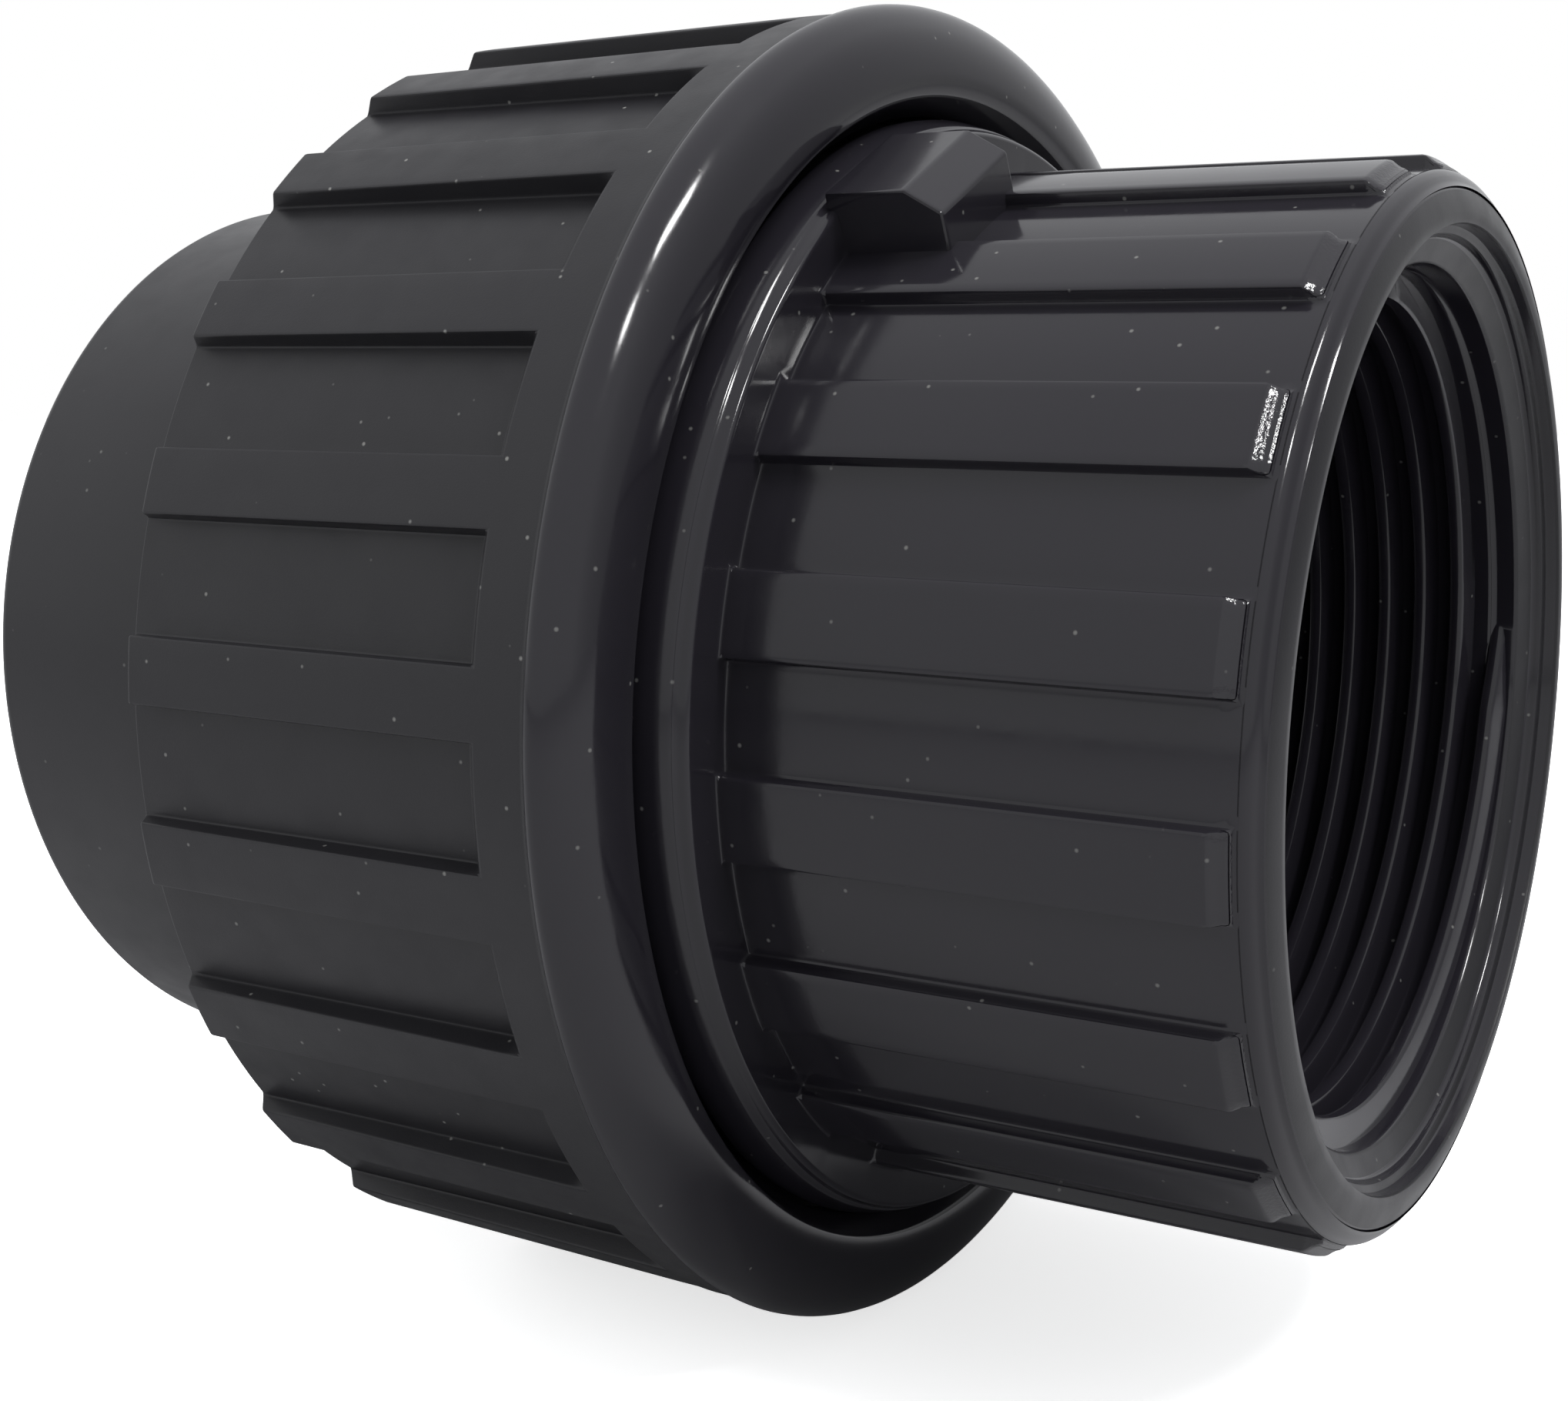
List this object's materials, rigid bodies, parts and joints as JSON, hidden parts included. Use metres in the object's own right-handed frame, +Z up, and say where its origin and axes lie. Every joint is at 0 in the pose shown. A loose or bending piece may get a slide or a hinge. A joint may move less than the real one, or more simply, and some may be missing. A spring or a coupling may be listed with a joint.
{
  "type": "pipe union",
  "caption": "Plastic pipe union: a plain glue socket end and a ribbed female threaded end, drawn together face to face by a ribbed union nut over an O-ring.",
  "frame": {"origin": "on the union's axis, in the sealing plane between the two ends", "axes": "+X along the pipe axis towards the threaded end's mouth, +Z up as the union lies, -Y towards the viewer's side"},
  "size_m": [0.081, 0.0786, 0.0786],
  "materials": {
    "socket_end": "satin moulded PVC-U, dark grey",
    "threaded_end": "polished moulded PVC-U, dark grey",
    "union_nut": "satin ribs with a glossy rounded mouth, dark grey",
    "seal_rubber": "black EPDM rubber"
  },
  "bodies": {
    "threaded_end": {"threaded_end": "threaded_end", "o_ring": "seal_rubber"},
    "socket_end": {"socket_end": "socket_end"},
    "nut": {"union_nut": "union_nut"}
  },
  "joints": [
    {"name": "socket_draw", "type": "slide", "parent": "threaded_end", "child": "socket_end", "axis": [-1, 0, 0], "range_m": [0, 0.0127]},
    {"name": "nut_turn", "type": "hinge", "parent": "socket_end", "child": "nut", "pos_m": [0, 0, 0], "axis": [-1, 0, 0], "range_deg": [0, 1080]}
  ],
  "couplings": [
    {"joint": "socket_draw", "follows": "nut_turn", "m_per_rad": 0.00066845}
  ]
}
